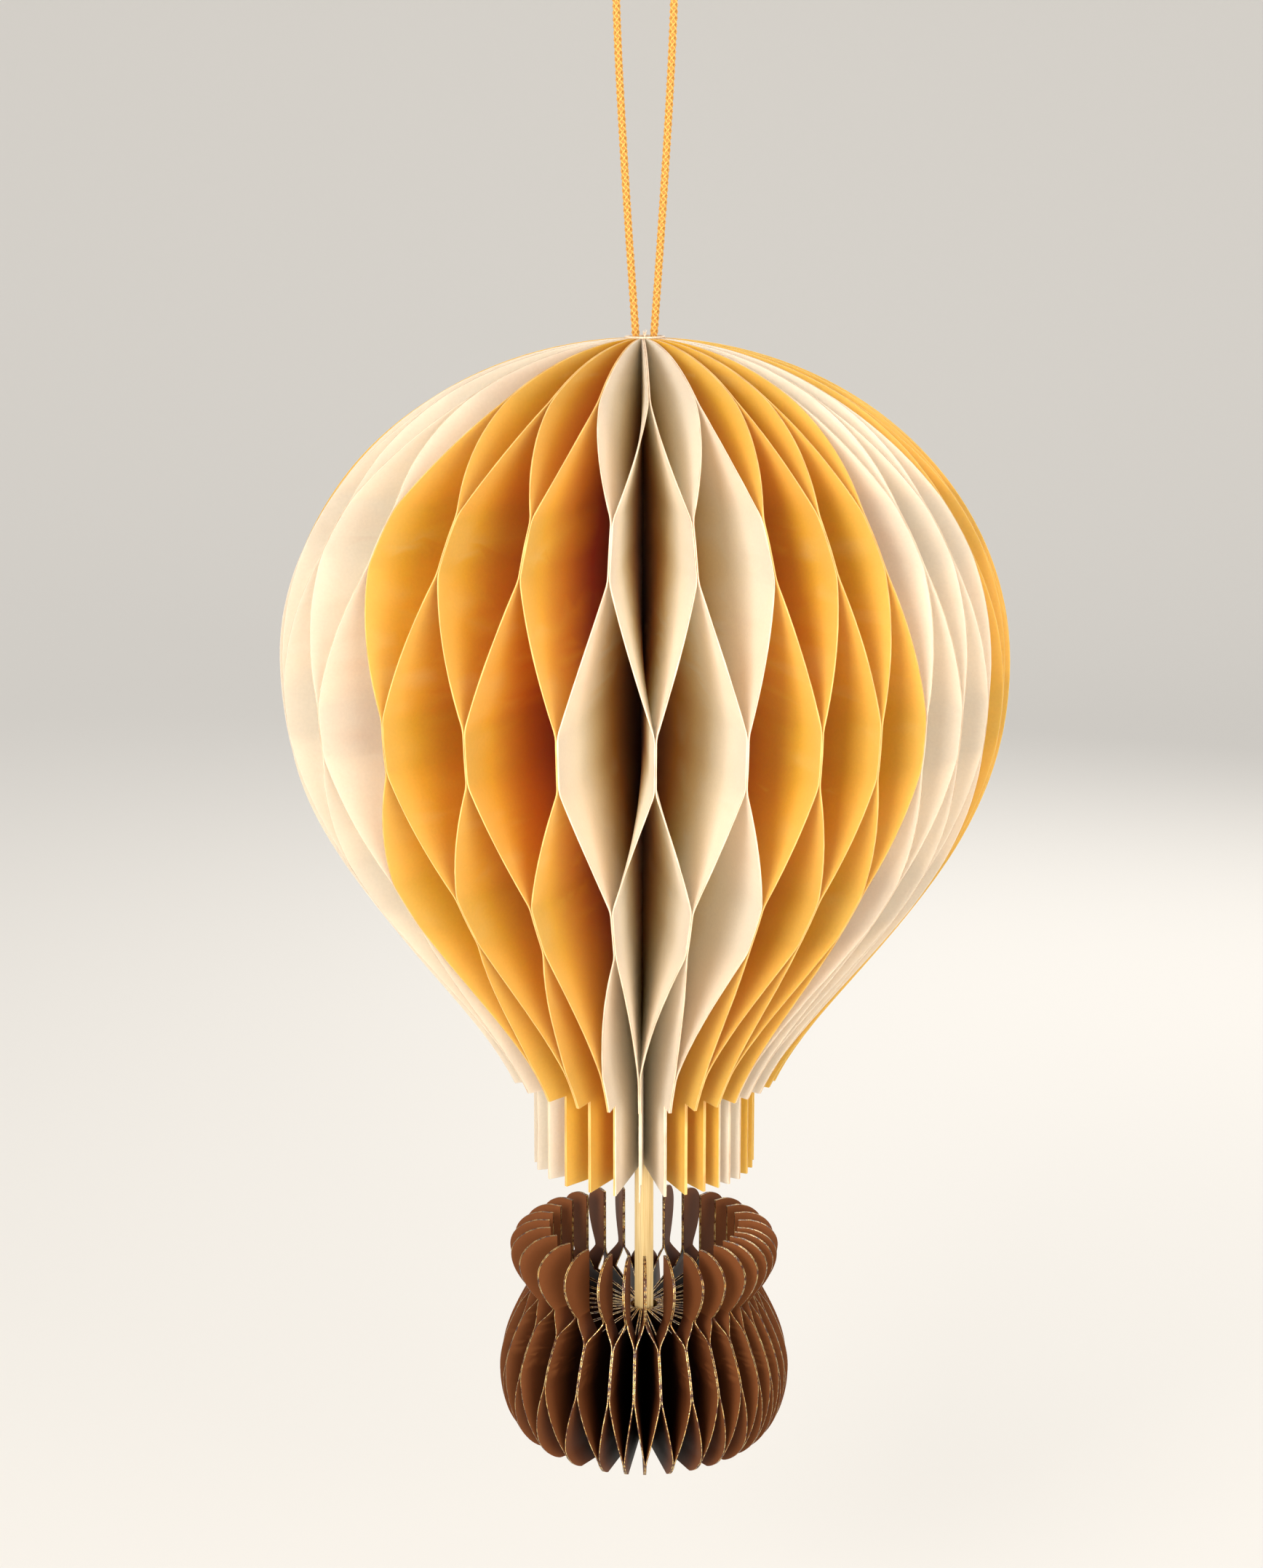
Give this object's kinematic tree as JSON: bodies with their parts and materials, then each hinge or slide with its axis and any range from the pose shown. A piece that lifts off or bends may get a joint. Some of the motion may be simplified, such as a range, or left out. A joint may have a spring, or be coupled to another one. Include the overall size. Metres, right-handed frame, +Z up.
{
  "type": "honeycomb paper balloon ornament",
  "caption": "Hanging hot-air-balloon ornament of cream and gold honeycomb paper leaves, with a brown paper basket on a square stick and a gold cord loop.",
  "frame": {"origin": "inside of the cord loop's top, where a hook carries the ornament", "axes": "+Z up along the ornament's axis, -Y towards the front with the covers' seam"},
  "size_m": [0.0998, 0.1, 0.2117],
  "materials": {
    "cream_paper": "matt laid paper",
    "gold_paper": "matt golden paper",
    "brown_paper": "matt brown paper with gilt cut edges",
    "stick_wood": "pale satin",
    "gold_cord": "twisted metallic",
    "white_thread": "matt"
  },
  "bodies": {
    "root": {"cream_gore_1": "cream_paper", "gold_gore_1": "gold_paper", "cream_gore_2": "cream_paper", "gold_gore_2": "gold_paper", "cream_gore_3": "cream_paper", "gold_gore_3": "gold_paper", "cream_gore_4": "cream_paper", "gold_gore_4": "gold_paper", "cream_gore_5": "cream_paper", "gold_gore_5": "gold_paper", "cream_gore_6": "cream_paper", "gold_gore_6": "gold_paper", "basket_leaves_1": "brown_paper", "basket_leaves_2": "brown_paper", "basket_leaves_3": "brown_paper", "basket_leaves_4": "brown_paper", "basket_leaves_5": "brown_paper", "basket_leaves_6": "brown_paper", "basket_leaves_7": "brown_paper", "basket_leaves_8": "brown_paper", "basket_leaves_9": "brown_paper", "basket_leaves_10": "brown_paper", "basket_leaves_11": "brown_paper", "basket_leaves_12": "brown_paper", "centre_stick": "stick_wood", "hanging_cord": "gold_cord", "spine_binding": "white_thread"}
  },
  "joints": []
}
